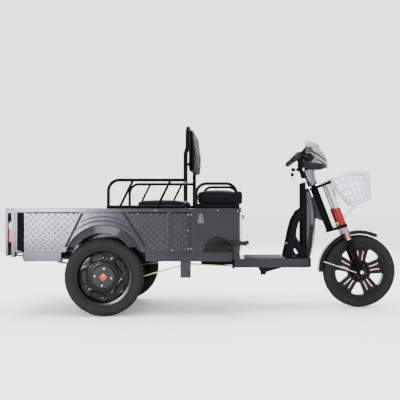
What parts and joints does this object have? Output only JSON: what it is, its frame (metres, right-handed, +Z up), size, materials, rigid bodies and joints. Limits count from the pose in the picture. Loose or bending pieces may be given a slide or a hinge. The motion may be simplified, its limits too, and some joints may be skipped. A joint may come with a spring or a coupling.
{
  "type": "cargo tricycle",
  "caption": "Electric cargo tricycle with a sheet-metal bed and drop tailgate, driver's seat on a battery box, backrest, rails, steered front wheel with basket.",
  "frame": {"origin": "on the ground, under the middle of the overall box", "axes": "+X forward, +Y to the rider's left, +Z up"},
  "size_m": [2.3499, 0.86, 1.115],
  "materials": {
    "body_grey": "metallic paint",
    "frame_black": "gloss black paint",
    "chassis_black": "satin black paint",
    "vinyl_black": "grained vinyl",
    "tyre_black": "matt rubber",
    "rubber_black": "ribbed rubber",
    "rim_grey": "silver-grey paint",
    "hub_grey": "grey paint",
    "front_rim_dark": "dark paint",
    "chrome": "polished",
    "steel": "zinc plated",
    "fork_red": "gloss red paint",
    "spring_steel": "red enamel",
    "cast_alloy": "cast and buffed",
    "black_plastic": "fine grain",
    "head_silver": "metallic paint on plastic",
    "dark_screen": "tinted",
    "clear_lens": "clear",
    "lamp_red": "clear over red",
    "basket_white": "moulded",
    "battery_case": "moulded",
    "mat_grey": "ribbed",
    "base_board": "plywood",
    "horn_cream": "moulded"
  },
  "bodies": {
    "chassis": {"chassis_frame": "chassis_black", "front_frame": "frame_black", "bed_floor": "body_grey", "side_panel_right": "body_grey", "side_panel_left": "body_grey", "wheel_wells": "body_grey", "fenders": "body_grey", "tail_lights": "lamp_red", "seat_box": "body_grey", "cargo_rails": "frame_black", "armrests": "frame_black", "footboard": "body_grey", "floor_mat": "mat_grey", "leg_shield": "body_grey", "knee_guard": "black_plastic", "battery_pack": "battery_case", "motor_controller": "cast_alloy", "parking_brake_boot": "rubber_black", "leaf_springs": "chassis_black", "brake_linkage": "steel", "panel_hardware": "steel", "passenger_cushion": "vinyl_black", "backrest_frame": "frame_black", "backrest_cushion": "vinyl_black"},
    "rear_axle": {"axle_housing": "chassis_black", "drive_motor": "cast_alloy"},
    "rear_wheel_right": {"rear_tyre_right": "tyre_black", "rear_rim_right": "rim_grey", "rear_hub_right": "hub_grey"},
    "rear_wheel_left": {"rear_tyre_left": "tyre_black", "rear_rim_left": "rim_grey", "rear_hub_left": "hub_grey"},
    "steering": {"steering_stem": "frame_black", "upper_crown": "frame_black", "fork_stanchions": "chrome", "fork_covers": "fork_red", "handlebar": "frame_black", "left_grip": "rubber_black", "headlight_housing": "head_silver", "headlight_lens": "clear_lens", "windscreen": "dark_screen", "dash_panel": "black_plastic", "horn": "horn_cream", "basket": "basket_white", "basket_strut": "steel", "fork_springs": "spring_steel"},
    "throttle": {"throttle_grip": "rubber_black"},
    "right_lever": {"brake_lever_right": "cast_alloy"},
    "left_lever": {"brake_lever_left": "cast_alloy"},
    "key": {"ignition_key": "steel"},
    "fork_lower": {"fork_sliders": "cast_alloy", "front_fender": "body_grey", "front_axle": "steel"},
    "front_wheel": {"front_tyre": "tyre_black", "front_rim": "front_rim_dark"},
    "tailgate": {"tailgate": "body_grey"},
    "seat": {"seat_base": "base_board", "seat_cushion": "vinyl_black"},
    "pedal": {"brake_pedal": "chassis_black"},
    "parking_brake": {"parking_brake_lever": "rubber_black"}
  },
  "joints": [
    {"name": "steering_turn", "type": "hinge", "parent": "chassis", "child": "steering", "pos_m": [0.71091, 0, 0.62216], "axis": [-0.3584, 0, 0.9336], "range_deg": [-38, 38]},
    {"name": "fork_slide", "type": "slide", "parent": "steering", "child": "fork_lower", "axis": [-0.3584, 0, 0.9336], "range_m": [0, 0.03], "stiffness_N_per_m": 16000, "springref_m": -0.05, "deforming": ["fork_springs"]},
    {"name": "front_wheel_spin", "type": "hinge", "parent": "fork_lower", "child": "front_wheel", "pos_m": [0.945, 0, 0.23], "axis": [0, 1, 0], "continuous": true},
    {"name": "rear_suspension", "type": "slide", "parent": "chassis", "child": "rear_axle", "axis": [0, 0, 1], "range_m": [0, 0.025], "stiffness_N_per_m": 40000, "springref_m": -0.05, "deforming": ["leaf_springs"]},
    {"name": "rear_wheel_right_spin", "type": "hinge", "parent": "rear_axle", "child": "rear_wheel_right", "pos_m": [-0.605, -0.36, 0.23], "axis": [0, 1, 0], "continuous": true},
    {"name": "rear_wheel_left_spin", "type": "hinge", "parent": "rear_axle", "child": "rear_wheel_left", "pos_m": [-0.605, 0.36, 0.23], "axis": [0, 1, 0], "continuous": true},
    {"name": "tailgate_drop", "type": "hinge", "parent": "chassis", "child": "tailgate", "pos_m": [-1.17, 0, 0.347], "axis": [0, -1, 0], "range_deg": [0, 165]},
    {"name": "seat_lift", "type": "hinge", "parent": "chassis", "child": "seat", "pos_m": [0.193, 0, 0.628], "axis": [0, 1, 0], "range_deg": [0, 75]},
    {"name": "throttle_twist", "type": "hinge", "parent": "steering", "child": "throttle", "pos_m": [0.51274, -0.31, 0.92634], "axis": [-0.249, -0.9466, -0.2048], "range_deg": [0, 60], "stiffness_Nm_per_rad": 0.4, "springref_deg": -22.92},
    {"name": "right_brake_pull", "type": "hinge", "parent": "steering", "child": "right_lever", "pos_m": [0.57922, -0.19358, 0.96661], "axis": [0.3858, 0.097, -0.9175], "range_deg": [0, 8], "stiffness_Nm_per_rad": 4, "springref_deg": -17.19},
    {"name": "left_brake_pull", "type": "hinge", "parent": "steering", "child": "left_lever", "pos_m": [0.57922, 0.19358, 0.96661], "axis": [-0.3858, 0.097, 0.9175], "range_deg": [0, 8], "stiffness_Nm_per_rad": 4, "springref_deg": -17.19},
    {"name": "key_turn", "type": "hinge", "parent": "steering", "child": "key", "pos_m": [0.549, 0, 0.874], "axis": [1, 0, 0], "range_deg": [0, 90]},
    {"name": "pedal_press", "type": "hinge", "parent": "chassis", "child": "pedal", "pos_m": [0.536, -0.095, 0.333], "axis": [0, 1, 0], "range_deg": [0, 18], "stiffness_Nm_per_rad": 8, "springref_deg": -17.19},
    {"name": "parking_brake_pull", "type": "hinge", "parent": "chassis", "child": "parking_brake", "pos_m": [0.075, -0.4055, 0.4055], "axis": [0, -1, 0], "range_deg": [0, 30], "deforming": ["parking_brake_boot"]}
  ]
}
